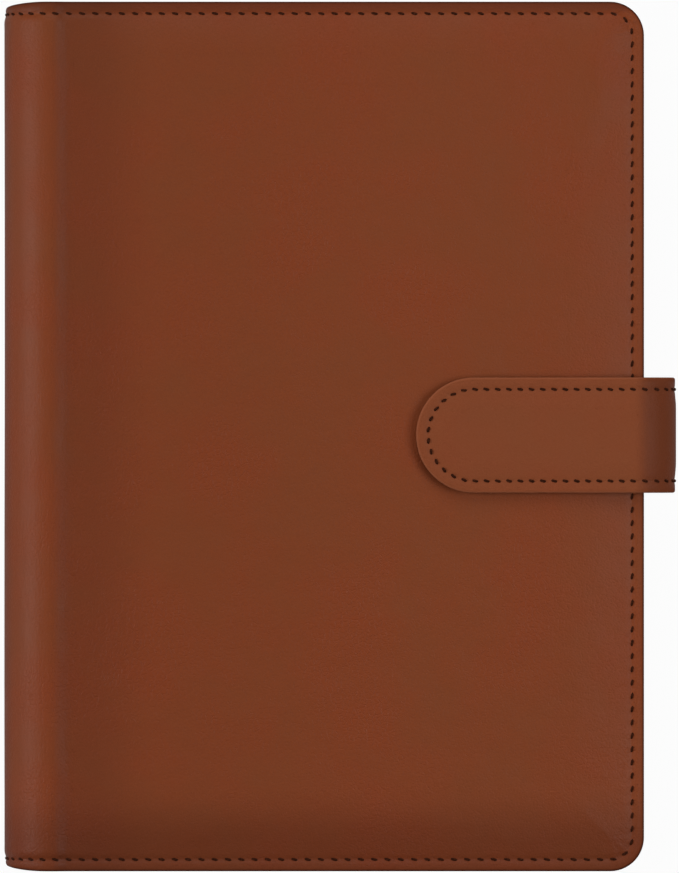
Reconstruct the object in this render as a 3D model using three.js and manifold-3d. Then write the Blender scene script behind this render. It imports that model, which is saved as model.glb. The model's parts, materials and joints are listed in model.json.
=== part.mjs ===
// A six-ring cash envelope wallet in brown synthetic leather, closed, lying on its back cover.
// Millimetres. +X runs to the fore-edge, +Y to the head, +Z up through the front cover.
// The origin is the middle of the back cover's outer face.

import * as THREE from 'three';
import { mergeVertices } from 'three/addons/utils/BufferGeometryUtils.js';
import Module from 'manifold-3d';

const wasm = await Module();
wasm.setup();

// Whole wallet
const height = 190;
const halfHeight = height / 2;
const foreEdgeX = 70;
const spineX = -70;
const thickness = 36;
const middleZ = thickness / 2;

// Cover layers, from the outside in, laminated with a thin glue line
const leatherThickness = 1.0;
const paddingThickness = 0.75;
const boardThickness = 1.5;
const liningThickness = 0.6;
const glueLine = 0.05;
const paddingDepth = leatherThickness + glueLine;
const boardDepth = paddingDepth + paddingThickness + glueLine;
const liningDepth = boardDepth + boardThickness + glueLine;
const coverThickness = liningDepth + liningThickness;

// Outline and border of a cover
const cornerRadius = 8;
const cornerSteps = 6;
const bandWidth = 2.1;
const bandDrop = 1.1;
const hingeBandDrop = 0.65;
const stitchInset = 2.6;
const stitchDip = 0.25;
const stitchDipHalf = 0.5;
const stitchShoulder = 0.6;
const crownStart = 3.8;
const crownWidth = 13;
const crownShares = [0.08, 0.25, 0.5, 0.75, 1];
const boardInset = 5.4;
const edgeRound = 0.4;
const liningInset = 0.4;

// Hinge leather between a cover's board and the spine
const rollRadius = 11;
const hingeStripX = -50;
const valleyX = -55.6;
const valleyDip = 0.75;
const boardGap = 0.5;
const stripOverlap = 0.6;
const stripSink = 0.06;
const stripTaper = 0.2;
const stripEndInset = 0.05;
const splitGap = 0.3;
const rollSteps = 6;
const valleySteps = 8;
const rollSlack = 0.33;
const spineLiningMargin = 1;

// A soft corner that opens flat turns about a point near its outer skin:
// each way in from the corner by the arc's length over two, less the radius, taken from the radius.
const softCornerShare = 1 - Math.PI / 4;
const hingeX = spineX + rollRadius * softCornerShare;
const hingeInset = rollRadius * softCornerShare;

// Closing strap
const strapWidth = 25.2;
const strapTipX = 20.2;
const strapLeather = 1.2;
const strapLining = 1.15;
const strapThickness = strapLeather + glueLine + strapLining;
const strapReach = 7;
const strapLift = 0.35;
const strapRootZ = (bandDrop + coverThickness) / 2;
const strapMiddleX = foreEdgeX + strapReach - strapThickness / 2;
const strapTopZ = thickness + strapLift + strapThickness / 2;
const strapUpperRadius = 7;
const strapBendRadius = strapMiddleX - foreEdgeX;
const strapHingeRadius = strapBendRadius * (1 - softCornerShare) * Math.SQRT2;
const strapSplitDegrees = -45;
const bendSteps = 8;
const magnetRadius = 6;
const magnetThickness = 0.8;
const keeperRadius = 6.5;
const snapInset = 13.5;
const snapX = strapTipX + snapInset;
const discSides = 24;
const seatClearance = 0.25;

// Ring mechanism
const wireRadius = 1.3;
const ringRadius = 10.3;
const ringZ = middleZ;
// The sheets keep their height when the spine is laid flat, so the rings stand as far from
// the hinge along X as along Z.
const ringX = hingeX + (ringZ - hingeInset);
const ringStationsY = [-63.5, -44.45, -25.4, 25.4, 44.45, 63.5];
const wireSides = 8;
const wireSteps = 20;
const wireArcSteps = 16;
const tipGap = 0.3;
const wireArcDegrees = 136;
const wireLegZ = 5.2;
const wireLegTopX = -10.2;
const wireLegTopZ = 5.5;
const wireSeatGap = 0.3;
const housingHalfWidth = 8.6;
const housingHeight = 5.8;
const housingWallHeight = 2.4;
const housingSheet = 0.8;
const housingArcSteps = 10;
const bladeLength = 140;
const bladeThickness = 0.8;
const bladeLift = 1.15;
const bladeGap = 0.3;
const bladeSideGap = 0.25;
const wireSlotWidth = 4.4;
const wireSlotInnerZ = 3.4;
const rivetRadius = 2;
const rivetHeadRadius = 3.6;
const rivetHeadHeight = 1.2;
const rivetGap = 3.4;
const rivetY = bladeLength / 2 + rivetGap + rivetHeadRadius;
const rivetSides = 16;
const housingEnd = 7;
const housingLength = 2 * (rivetY + housingEnd);

// Zip envelopes and budget sheets
const envelopeCount = 5;
const envelopeWidth = 102;
const envelopeHeight = 173;
const filmThickness = 0.5;
const ringPitch = 1.6;
const zipPitch = 4.9;
const holeRadius = 3.3;
const holeOffset = 0.75;
const holeMargin = 6;
const holeSides = 14;
const fanStartX = -32;
const fanEndX = -4;
const fanSteps = 6;
const sheetCornerRadius = 4;
const zipWidth = 3;
const zipThickness = 1.7;
const zipBevel = 0.35;
const zipLength = 158;
const zipStopLength = 2.4;
const zipGap = 0.1;
const sliderLength = 9;
const sliderWidth = 6.4;
const sliderThickness = 3.1;
const sliderClearance = 0.3;
const sliderStart = 3;
const sliderTopShare = 0.85;
const sliderWaistShare = 0.45;
const sliderBottomShare = 0.6;
const bridgeHeight = 1.2;
const bridgeWidth = 1.6;
const bridgeLength = 5;
const bridgeWire = 0.6;
const bridgeTopWire = 0.48;
const bridgeSink = 0.2;
const pullLength = 15;
const pullWidth = 4.6;
const pullThickness = 0.5;
const pullHoleLength = 3.6;
const pullClearance = 0.15;
const pullCorner = 1.4;
const pullShoulder = 1;
const pullBottomShare = 0.7;
const pullShoulderShare = 0.8;
const pullTopShare = 0.5;
const sheetsWidth = 95;
const sheetsHeight = 172;
const sheetsThickness = 1.2;
const sheetsRingDrop = 5.0;
const sheetsForeDrop = 12.3;

// Inside pockets
const pocketSheet = 0.5;
const pocketLeftX = -36;
const pocketRightX = 64;
const pocketMarginY = 8;
const cardSlotCount = 3;
const cardSlotGap = 0.4;
const slipPocketTopY = 40;

// Material colours, each piece with its own material
const brownLeather = { color: 0x78402a, roughness: 0.55, metalness: 0 };
const darkLining = { color: 0x5a3222, roughness: 0.75, metalness: 0 };
const greyBoard = { color: 0x8f8677, roughness: 0.9, metalness: 0 };
const whiteFoam = { color: 0xd9d6cd, roughness: 0.95, metalness: 0 };
const brightSteel = { color: 0xc9ccd0, roughness: 0.22, metalness: 1 };
const darkMagnet = { color: 0x55575a, roughness: 0.5, metalness: 1 };
const clearFilm = { color: 0xe6ecee, roughness: 0.2, metalness: 0, transparent: true, opacity: 0.5 };
const zipTape = { color: 0xefece4, roughness: 0.7, metalness: 0 };
const whitePaper = { color: 0xf4f2ea, roughness: 0.9, metalness: 0 };

const wallet = new THREE.Group();

function addPiece(name, geometry, look) {
  const piece = new THREE.Mesh(geometry, new THREE.MeshStandardMaterial(look));
  piece.name = name;
  wallet.add(piece);
  return piece;
}

// Geometry helpers

function signedVolume(points, faces) {
  let total = 0;
  for (const [a, b, c] of faces) {
    total += points[a].dot(points[b].clone().cross(points[c])) / 6;
  }
  return total;
}

function geometryOf(points, faces) {
  const outward = signedVolume(points, faces) > 0;
  const index = faces.flatMap(([a, b, c]) => (outward ? [a, b, c] : [a, c, b]));
  const geometry = new THREE.BufferGeometry().setFromPoints(points);
  geometry.setIndex(index);
  return geometry;
}

// A closed skin over a run of rings that have as many points each, with both ends capped.
// flatten gives a ring's points as a plane outline for the caps.
function loft(rings, flatten) {
  const count = rings[0].length;
  const points = rings.flat();
  const faces = [];
  for (let r = 0; r + 1 < rings.length; r += 1) {
    for (let i = 0; i < count; i += 1) {
      const next = (i + 1) % count;
      const here = r * count;
      const beyond = here + count;
      faces.push([here + i, here + next, beyond + next]);
      faces.push([here + i, beyond + next, beyond + i]);
    }
  }
  const cap = (ring, first, turned) => {
    const outline = ring.map(flatten);
    const clockwise = THREE.ShapeUtils.isClockWise(outline);
    for (const [a, b, c] of THREE.ShapeUtils.triangulateShape(outline, [])) {
      faces.push(turned !== clockwise ? [first + a, first + b, first + c] : [first + a, first + c, first + b]);
    }
  };
  cap(rings[0], 0, false);
  cap(rings.at(-1), points.length - count, true);
  return geometryOf(points, faces);
}

const flattenXY = (p) => new THREE.Vector2(p.x, p.y);

// A closed XZ outline carried along Y.
function alongY(outline, fromY, toY) {
  const shape = new THREE.Shape(outline.map(([x, z]) => new THREE.Vector2(x, z)));
  const bar = new THREE.ExtrudeGeometry(shape, { depth: toY - fromY, bevelEnabled: false });
  return bar.rotateX(Math.PI / 2).translate(0, toY, 0);
}

// A closed XY outline carried along Z.
function alongZ(outline, fromZ, toZ) {
  const shape = new THREE.Shape(outline.map(([x, y]) => new THREE.Vector2(x, y)));
  const plate = new THREE.ExtrudeGeometry(shape, { depth: toZ - fromZ, bevelEnabled: false });
  return plate.translate(0, 0, fromZ);
}

function block(fromX, toX, fromY, toY, fromZ, toZ) {
  const solid = new THREE.BoxGeometry(toX - fromX, toY - fromY, toZ - fromZ);
  return solid.translate((fromX + toX) / 2, (fromY + toY) / 2, (fromZ + toZ) / 2);
}

// An upright disc along Z.
function disc(x, y, fromZ, toZ, radius, sides) {
  const solid = new THREE.CylinderGeometry(radius, radius, toZ - fromZ, sides);
  return solid.rotateX(Math.PI / 2).translate(x, y, (fromZ + toZ) / 2);
}

// A disc along X.
function discAlongX(y, z, fromX, toX, radius, sides) {
  const solid = new THREE.CylinderGeometry(radius, radius, toX - fromX, sides);
  return solid.rotateZ(Math.PI / 2).translate((fromX + toX) / 2, y, z);
}

function solidOf(geometry) {
  const bare = geometry.clone();
  bare.deleteAttribute('normal');
  bare.deleteAttribute('uv');
  const merged = mergeVertices(bare, 1e-4);
  return new wasm.Manifold(new wasm.Mesh({
    numProp: 3,
    vertProperties: merged.attributes.position.array,
    triVerts: new Uint32Array(merged.index.array),
  }));
}

function geometryFrom(solid) {
  const mesh = solid.getMesh();
  const geometry = new THREE.BufferGeometry();
  geometry.setAttribute('position', new THREE.BufferAttribute(mesh.vertProperties, 3));
  geometry.setIndex(new THREE.BufferAttribute(mesh.triVerts, 1));
  return geometry;
}

function cut(geometry, tools) {
  return geometryFrom(tools.reduce((solid, tool) => solid.subtract(solidOf(tool)), solidOf(geometry)));
}

function join(geometry, others) {
  return geometryFrom(others.reduce((solid, other) => solid.add(solidOf(other)), solidOf(geometry)));
}

function common(geometry, other) {
  return geometryFrom(solidOf(geometry).intersect(solidOf(other)));
}

// Points of an arc in the XZ plane, from one angle to another, in degrees from +X towards +Z.
function arcPoints(centreX, centreZ, radius, fromDegrees, toDegrees, steps) {
  return Array.from({ length: steps + 1 }, (_, i) => {
    const angle = THREE.MathUtils.degToRad(fromDegrees + ((toDegrees - fromDegrees) * i) / steps);
    return [centreX + radius * Math.cos(angle), centreZ + radius * Math.sin(angle)];
  });
}

// A rectangle in XY with rounded right corners, and rounded left corners when asked.
function roundedOutline(leftX, rightX, halfY, radius, leftRound) {
  const outline = [];
  const corner = (x, y, from) => {
    for (const [px, py] of arcPoints(x, y, radius, from, from + 90, cornerSteps)) {
      outline.push([px, py]);
    }
  };
  corner(rightX - radius, -halfY + radius, 270);
  corner(rightX - radius, halfY - radius, 0);
  if (leftRound) {
    corner(leftX + radius, halfY - radius, 90);
    corner(leftX + radius, -halfY + radius, 180);
  } else {
    outline.push([leftX, halfY], [leftX, -halfY]);
  }
  return outline;
}

// Turns a piece of the back cover over into its twin on the front cover.
function turnedToFront(geometry) {
  return geometry.clone().rotateX(Math.PI).translate(0, 0, thickness);
}

// Cover leather, in the back cover's place, with its outer face down

// The border's profile: a flat stitched band, a dip under the thread, then the padded crown.
function coverRings() {
  const crownRise = (share) => bandDrop * (1 - Math.sin((share * Math.PI) / 2)) * (1 - share);
  const profile = [
    [0, liningDepth - glueLine],
    [0, bandDrop + edgeRound],
    [edgeRound, bandDrop],
    [stitchInset - stitchDipHalf, bandDrop],
    [stitchInset, bandDrop + stitchDip],
    [stitchInset + stitchShoulder, bandDrop - glueLine],
  ];
  for (const share of crownShares) {
    profile.push([crownStart + (crownWidth - crownStart) * share, crownRise(share)]);
  }
  return profile;
}

// A ring of the cover's outline, set in from its head, tail and fore-edge.
function coverRing(inset, z) {
  const radius = Math.max(cornerRadius - inset, 0.5);
  const outline = roundedOutline(hingeStripX, foreEdgeX - inset, halfHeight - inset, radius, false);
  return outline.map(([x, y]) => new THREE.Vector3(x, y, z));
}

function coverPanel() {
  const underside = [
    [boardInset - boardGap / 2, leatherThickness],
    [boardInset - boardGap / 2, liningDepth - glueLine],
  ];
  const profile = [...underside, ...coverRings()];
  return loft(profile.map(([inset, z]) => coverRing(inset, z)), flattenXY);
}

// How far the hinge leather dips inward between the panel and the roll.
function valley(x) {
  const share = (x - (spineX + rollRadius)) / (hingeStripX - (spineX + rollRadius));
  const lowest = (valleyX - (spineX + rollRadius)) / (hingeStripX - (spineX + rollRadius));
  const warped = share < lowest ? (0.5 * share) / lowest : 0.5 + (0.5 * (share - lowest)) / (1 - lowest);
  return valleyDip * Math.sin(Math.PI * warped) ** 2;
}

// The hinge leather's XZ section, pressed in by `press` on its outer side as the border is.
function hingeSection(press) {
  const arcX = spineX + rollRadius;
  const splitDegrees = 225 + THREE.MathUtils.radToDeg(splitGap / 2 / rollRadius);
  const outer = [[hingeStripX + stripOverlap, Math.max(press, stripTaper)]];
  for (let i = 0; i < valleySteps; i += 1) {
    const x = hingeStripX + ((arcX - hingeStripX) * i) / valleySteps;
    outer.push([x, Math.max(press, valley(x), i === 0 ? stripSink : 0)]);
  }
  outer.push(...arcPoints(arcX, rollRadius, rollRadius - press, 270, splitDegrees, rollSteps));
  const innerRadius = rollRadius - leatherThickness - press / 2;
  const inner = arcPoints(arcX, rollRadius, innerRadius, splitDegrees, 270, rollSteps);
  for (let i = valleySteps - 1; i >= 0; i -= 1) {
    const x = hingeStripX + ((arcX - hingeStripX) * i) / valleySteps;
    inner.push([x, leatherThickness + Math.max(press / 2, valley(x)) - (i === 0 ? stripSink : 0)]);
  }
  inner.push([hingeStripX + stripOverlap, leatherThickness + press / 2 - stripTaper]);
  return [...outer, ...inner];
}

// A section carried along Y, pressed in at both ends where the stitched band runs.
function bandedBar(section) {
  const endY = halfHeight - stripEndInset;
  const stops = [
    [-endY, hingeBandDrop],
    [-endY + bandWidth, hingeBandDrop],
    [-endY + bandWidth * 2, 0],
    [endY - bandWidth * 2, 0],
    [endY - bandWidth, hingeBandDrop],
    [endY, hingeBandDrop],
  ];
  const rings = stops.map(([y, press]) => section(press).map(([x, z]) => new THREE.Vector3(x, y, z)));
  return loft(rings, (p) => new THREE.Vector2(p.x, p.z));
}

function coverLeather() {
  return join(coverPanel(), [bandedBar(hingeSection)]);
}

function coverLayer(fromZ, toZ) {
  const radius = cornerRadius - boardInset;
  const leftX = hingeStripX + boardGap;
  const halfY = halfHeight - boardInset;
  return alongZ(roundedOutline(leftX, foreEdgeX - boardInset, halfY, radius, false), fromZ, toZ);
}

function coverLining() {
  const radius = cornerRadius - liningInset;
  const halfY = halfHeight - liningInset;
  const outline = roundedOutline(hingeStripX, foreEdgeX - liningInset, halfY, radius, false);
  return alongZ(outline, liningDepth, coverThickness);
}

function coverPadding() {
  return coverLayer(paddingDepth, paddingDepth + paddingThickness);
}

function addCovers() {
  addPiece('back_cover_leather', coverLeather(), brownLeather);
  addPiece('back_cover_padding', coverPadding(), whiteFoam);
  addPiece('back_cover_board', coverLayer(boardDepth, boardDepth + boardThickness), greyBoard);
  addPiece('back_cover_lining', coverLining(), darkLining);
  addPiece('front_cover_leather', turnedToFront(coverLeather()), brownLeather);
  const keeperSeat = disc(snapX, 0, 0, coverThickness, keeperRadius + seatClearance, discSides);
  addPiece('front_cover_padding', turnedToFront(cut(coverPadding(), [keeperSeat])), whiteFoam);
  const board = coverLayer(boardDepth, boardDepth + boardThickness);
  addPiece('front_cover_board', turnedToFront(board), greyBoard);
  addPiece('front_cover_lining', turnedToFront(coverLining()), darkLining);
  const keeperTopZ = paddingDepth + paddingThickness;
  const keeper = disc(snapX, 0, paddingDepth, keeperTopZ, keeperRadius, discSides);
  addPiece('strap_keeper_disc', turnedToFront(keeper), brightSteel);
}

// Spine

const spineLayers = {
  board: spineX + leatherThickness + glueLine,
  lining: spineX + leatherThickness + glueLine + boardThickness + glueLine,
};
const spineInnerX = spineLayers.lining + liningThickness;

// The leather of the spine's face and of half of each rolled corner.
function spineSection(press) {
  const arcX = spineX + rollRadius;
  const half = THREE.MathUtils.radToDeg(splitGap / 2 / rollRadius);
  const outside = rollRadius - press;
  const inside = rollRadius - leatherThickness - press / 2;
  return [
    ...arcPoints(arcX, rollRadius, outside, 225 - half, 180, rollSteps),
    ...arcPoints(arcX, thickness - rollRadius, outside, 180, 135 + half, rollSteps),
    ...arcPoints(arcX, thickness - rollRadius, inside, 135 + half, 180, rollSteps),
    ...arcPoints(arcX, rollRadius, inside, 180, 225 - half, rollSteps),
  ];
}

function spineLayer(fromX, toX, outerHalf, innerHalf) {
  const outline = [
    [fromX, ringZ - outerHalf],
    [toX, ringZ - innerHalf],
    [toX, ringZ + innerHalf],
    [fromX, ringZ + outerHalf],
  ];
  const rivetHoles = [-rivetY, rivetY].map((y) => (
    discAlongX(y, ringZ, fromX - 1, toX + 1, rivetRadius + seatClearance, rivetSides)
  ));
  return cut(alongY(outline, -halfHeight + boardInset, halfHeight - boardInset), rivetHoles);
}

// Half the width that fits inside the rolled corners at a distance behind the spine's face.
function widthInsideRolls(x) {
  const inside = rollRadius - leatherThickness - glueLine - rollSlack;
  const across = spineX + rollRadius - x;
  return ringZ - rollRadius + Math.sqrt(Math.max(inside ** 2 - across ** 2, 0));
}

function addSpine() {
  addPiece('spine_leather', bandedBar(spineSection), brownLeather);
  const boardBackX = spineLayers.board + boardThickness;
  const flatHalf = ringZ - rollRadius;
  const liningHalf = widthInsideRolls(boardBackX) - spineLiningMargin;
  addPiece('spine_board', spineLayer(spineLayers.board, boardBackX, flatHalf, liningHalf), greyBoard);
  addPiece('spine_lining', spineLayer(spineLayers.lining, spineInnerX, liningHalf, liningHalf), darkLining);
}

// Ring mechanism

const housingBaseX = spineInnerX + glueLine;
const housingTopX = housingBaseX + housingHeight;
const bladeX = housingBaseX + bladeLift;
const bladeOuterZ = housingHalfWidth - housingSheet - bladeSideGap;

// The arch's outline on one side of the sheet: upright walls, then half an ellipse.
function archOutline(halfWidth, topX) {
  const wallX = housingBaseX + housingWallHeight;
  const points = [[housingBaseX, ringZ - halfWidth]];
  for (let i = 0; i <= housingArcSteps; i += 1) {
    const angle = (Math.PI * i) / housingArcSteps;
    points.push([wallX + (topX - wallX) * Math.sin(angle), ringZ - halfWidth * Math.cos(angle)]);
  }
  points.push([housingBaseX, ringZ + halfWidth]);
  return points;
}

function ringHousing() {
  const outer = archOutline(housingHalfWidth, housingTopX);
  const inner = archOutline(housingHalfWidth - housingSheet, housingTopX - housingSheet);
  const arch = alongY([...outer, ...inner.reverse()], -housingLength / 2, housingLength / 2);
  const slots = ringStationsY.flatMap((y) => [-1, 1].map((side) => {
    const inward = ringZ + side * wireSlotInnerZ;
    const outward = ringZ + side * (housingHalfWidth + 1);
    const fromX = housingBaseX + bladeLift + bladeThickness;
    const low = Math.min(inward, outward);
    const high = Math.max(inward, outward);
    return block(fromX, housingTopX + 1, y - wireSlotWidth / 2, y + wireSlotWidth / 2, low, high);
  }));
  const rivetHoles = [-rivetY, rivetY].map((y) => (
    discAlongX(y, ringZ, housingBaseX, housingTopX + 1, rivetRadius + seatClearance, rivetSides)
  ));
  return cut(arch, [...slots, ...rivetHoles]);
}

function rivet(y) {
  const seatX = housingTopX + glueLine;
  const profile = [[0, spineLayers.board], [rivetRadius, spineLayers.board], [rivetRadius, seatX]];
  profile.push([rivetHeadRadius, seatX], [rivetHeadRadius * 0.85, seatX + rivetHeadHeight * 0.6]);
  profile.push([rivetHeadRadius * 0.4, seatX + rivetHeadHeight], [0, seatX + rivetHeadHeight]);
  const lathe = new THREE.LatheGeometry(profile.map(([r, h]) => new THREE.Vector2(r, h)), 20);
  return lathe.rotateZ(-Math.PI / 2).translate(0, y, ringZ);
}

function blade(side) {
  const inner = ringZ + (side * bladeGap) / 2;
  const outer = ringZ + side * bladeOuterZ;
  const low = Math.min(inner, outer);
  const high = Math.max(inner, outer);
  return block(bladeX, bladeX + bladeThickness, -bladeLength / 2, bladeLength / 2, low, high);
}

// Half a ring: round wire from the tip, over the circle, and down its leg onto the blade.
class HalfRingPath extends THREE.Curve {
  constructor(side, y) {
    super();
    this.side = side;
    this.y = y;
    const tipAngle = Math.asin(tipGap / 2 / ringRadius);
    const arcAngle = THREE.MathUtils.degToRad(wireArcDegrees);
    const points = [];
    for (let i = 0; i <= wireArcSteps; i += 1) {
      const angle = tipAngle + ((arcAngle - tipAngle) * i) / wireArcSteps;
      points.push(this.place(ringRadius * Math.cos(angle), ringRadius * Math.sin(angle)));
    }
    points.push(this.place(wireLegTopX, wireLegTopZ));
    points.push(this.place(bladeX + bladeThickness + wireSeatGap - ringX, wireLegZ));
    this.route = new THREE.CatmullRomCurve3(points, false, 'centripetal');
  }

  place(fromCentreX, fromCentreZ) {
    return new THREE.Vector3(ringX + fromCentreX, this.y, ringZ + this.side * fromCentreZ);
  }

  getPoint(share, target = new THREE.Vector3()) {
    return this.route.getPoint(share, target);
  }
}

function halfRing(side, y) {
  const section = new THREE.Shape();
  for (let i = 0; i < wireSides; i += 1) {
    const angle = (2 * Math.PI * (i + 0.5)) / wireSides;
    const point = [wireRadius * Math.cos(angle), wireRadius * Math.sin(angle)];
    if (i === 0) {
      section.moveTo(...point);
    } else {
      section.lineTo(...point);
    }
  }
  const path = new HalfRingPath(side, y);
  return new THREE.ExtrudeGeometry(section, { steps: wireSteps, extrudePath: path, bevelEnabled: false });
}

function addRings() {
  addPiece('ring_housing', ringHousing(), brightSteel);
  addPiece('housing_rivet_tail', rivet(-rivetY), brightSteel);
  addPiece('housing_rivet_head', rivet(rivetY), brightSteel);
  addPiece('upper_blade', blade(1), brightSteel);
  addPiece('lower_blade', blade(-1), brightSteel);
  ringStationsY.forEach((y, i) => {
    addPiece(`upper_half_ring_${i + 1}`, halfRing(1, y), brightSteel);
    addPiece(`lower_half_ring_${i + 1}`, halfRing(-1, y), brightSteel);
  });
}

// Strap

// How far, in degrees, an end at the split is cut back at a distance from the strap's middle,
// so that the two ends close without biting when the strap is opened about its hinge.
function splitCutBack(offset) {
  const radius = strapBendRadius + offset;
  return THREE.MathUtils.radToDeg(Math.max(radius - strapHingeRadius, 0) / radius);
}

// A band of the strap's XZ section between two distances from its middle, positive outward.
function strapBand(inward, outward, fromDegrees) {
  const lowerZ = strapRootZ + strapBendRadius;
  const upperX = strapMiddleX - strapUpperRadius;
  const upperZ = strapTopZ - strapUpperRadius;
  const side = (offset) => {
    const startDegrees = fromDegrees + splitCutBack(offset);
    return [
      ...arcPoints(foreEdgeX, lowerZ, strapBendRadius + offset, startDegrees, 0, bendSteps),
      ...arcPoints(upperX, upperZ, strapUpperRadius + offset, 0, 90, bendSteps),
      [strapTipX, strapTopZ + offset],
    ];
  };
  return [...side(outward), ...side(inward).reverse()];
}

// The strap seen from above: straight sides and a half-round end.
function strapPlan() {
  const radius = strapWidth / 2;
  const tip = arcPoints(strapTipX + radius, 0, radius, 90, 270, discSides);
  const rightX = foreEdgeX + strapReach + 1;
  return alongZ([...tip, [rightX, -radius], [rightX, radius]], -1, thickness + 10);
}

function strapPiece(inward, outward) {
  const fromDegrees = strapSplitDegrees + THREE.MathUtils.radToDeg(splitGap / strapBendRadius);
  const section = strapBand(inward, outward, fromDegrees);
  return common(alongY(section, -strapWidth / 2, strapWidth / 2), strapPlan());
}

function strapRoot() {
  const half = strapThickness / 2;
  const startDegrees = -90 + THREE.MathUtils.radToDeg(splitGap / strapBendRadius);
  const outerEndDegrees = strapSplitDegrees - splitCutBack(half);
  const centreZ = strapRootZ + strapBendRadius;
  const outerRadius = strapBendRadius + half;
  const innerRadius = strapBendRadius - half;
  const outer = arcPoints(foreEdgeX, centreZ, outerRadius, startDegrees, outerEndDegrees, bendSteps);
  const inner = arcPoints(foreEdgeX, centreZ, innerRadius, strapSplitDegrees, startDegrees, bendSteps);
  return alongY([...outer, ...inner], -strapWidth / 2, strapWidth / 2);
}

function addStrap() {
  const half = strapThickness / 2;
  addPiece('strap_leather', strapPiece(half - strapLeather, half), brownLeather);
  const magnetTopZ = strapTopZ + half - strapLeather - glueLine;
  const magnetBottomZ = magnetTopZ - magnetThickness;
  const seatRadius = magnetRadius + seatClearance;
  const seat = disc(snapX, 0, magnetBottomZ - glueLine, magnetTopZ + 1, seatRadius, discSides);
  addPiece('strap_lining', cut(strapPiece(-half, -half + strapLining), [seat]), brownLeather);
  const magnet = disc(snapX, 0, magnetBottomZ, magnetTopZ, magnetRadius, discSides);
  addPiece('strap_magnet', magnet, darkMagnet);
  addPiece('strap_root', strapRoot(), brownLeather);
}

// Contents

function smoothStep(share) {
  const s = THREE.MathUtils.clamp(share, 0, 1);
  return s * s * (3 - 2 * s);
}

// A sheet's height over X: close together on the rings, spread apart towards the fore-edge.
function fanHeight(x, ringOffset, foreOffset) {
  return ringZ + ringOffset + (foreOffset - ringOffset) * smoothStep((x - fanStartX) / (fanEndX - fanStartX));
}

// Where the ring's wire crosses a sheet at a height above the ring's centre.
function wireCrossingX(offset) {
  return ringX + Math.sqrt(ringRadius ** 2 - offset ** 2);
}

function punchedSheet(ringOffset, foreOffset, width, tall, thick) {
  const holeX = wireCrossingX(ringOffset) + holeOffset;
  const leftX = holeX - holeMargin;
  const rightX = leftX + width;
  const stations = [leftX];
  for (let i = 0; i <= fanSteps; i += 1) {
    stations.push(fanStartX + ((fanEndX - fanStartX) * i) / fanSteps);
  }
  stations.push(rightX);
  const top = stations.map((x) => [x, fanHeight(x, ringOffset, foreOffset) + thick / 2]);
  const bottom = stations.map((x) => [x, fanHeight(x, ringOffset, foreOffset) - thick / 2]);
  const slab = alongY([...bottom, ...top.reverse()], -tall / 2, tall / 2);
  const plan = roundedOutline(leftX, rightX, tall / 2, sheetCornerRadius, true);
  const sheet = common(slab, alongZ(plan, 0, thickness));
  const holes = ringStationsY.map((y) => disc(holeX, y, 0, thickness, holeRadius, holeSides));
  return { geometry: cut(sheet, holes), rightX, foreZ: ringZ + foreOffset };
}

function zipTrack(x, z) {
  const half = zipLength / 2;
  const low = z - zipThickness / 2;
  const high = z + zipThickness / 2;
  const section = [
    [x + zipBevel, low], [x + zipWidth - zipBevel, low], [x + zipWidth, low + zipBevel],
    [x + zipWidth, high - zipBevel], [x + zipWidth - zipBevel, high], [x + zipBevel, high],
    [x, high - zipBevel], [x, low + zipBevel],
  ];
  return alongY(section, -half, half);
}

// The slider's shield-shaped body round the track, with a bridge on top for the pull.
function zipSlider(x, z) {
  const middleX = x + zipWidth / 2;
  const topY = zipLength / 2 - zipStopLength - sliderStart;
  const halfWidth = sliderWidth / 2;
  const bottomHalf = halfWidth * sliderBottomShare;
  const topHalf = halfWidth * sliderTopShare;
  const waistY = topY - sliderLength * sliderWaistShare;
  const plan = [
    [middleX - bottomHalf, topY - sliderLength], [middleX + bottomHalf, topY - sliderLength],
    [middleX + halfWidth, waistY], [middleX + topHalf, topY],
    [middleX - topHalf, topY], [middleX - halfWidth, waistY],
  ];
  const body = alongZ(plan, z - sliderThickness / 2, z + sliderThickness / 2);
  const reach = zipThickness / 2 + sliderClearance;
  const farX = x + zipWidth + sliderClearance;
  const channel = block(x - sliderWidth, farX, topY - sliderLength - 1, topY + 1, z - reach, z + reach);
  const bridgeTop = z + sliderThickness / 2 + bridgeHeight;
  const bridgeY = topY - sliderLength / 2;
  const halfLength = bridgeLength / 2;
  const bridge = block(
    middleX - bridgeWidth / 2, middleX + bridgeWidth / 2,
    bridgeY - halfLength, bridgeY + halfLength, z + sliderThickness / 2 - bridgeSink, bridgeTop,
  );
  const underBridge = block(
    middleX - bridgeWidth, middleX + bridgeWidth,
    bridgeY - halfLength + bridgeWire, bridgeY + halfLength - bridgeWire,
    z + sliderThickness / 2, bridgeTop - bridgeTopWire,
  );
  return cut(join(cut(body, [channel]), [bridge]), [underBridge]);
}

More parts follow.
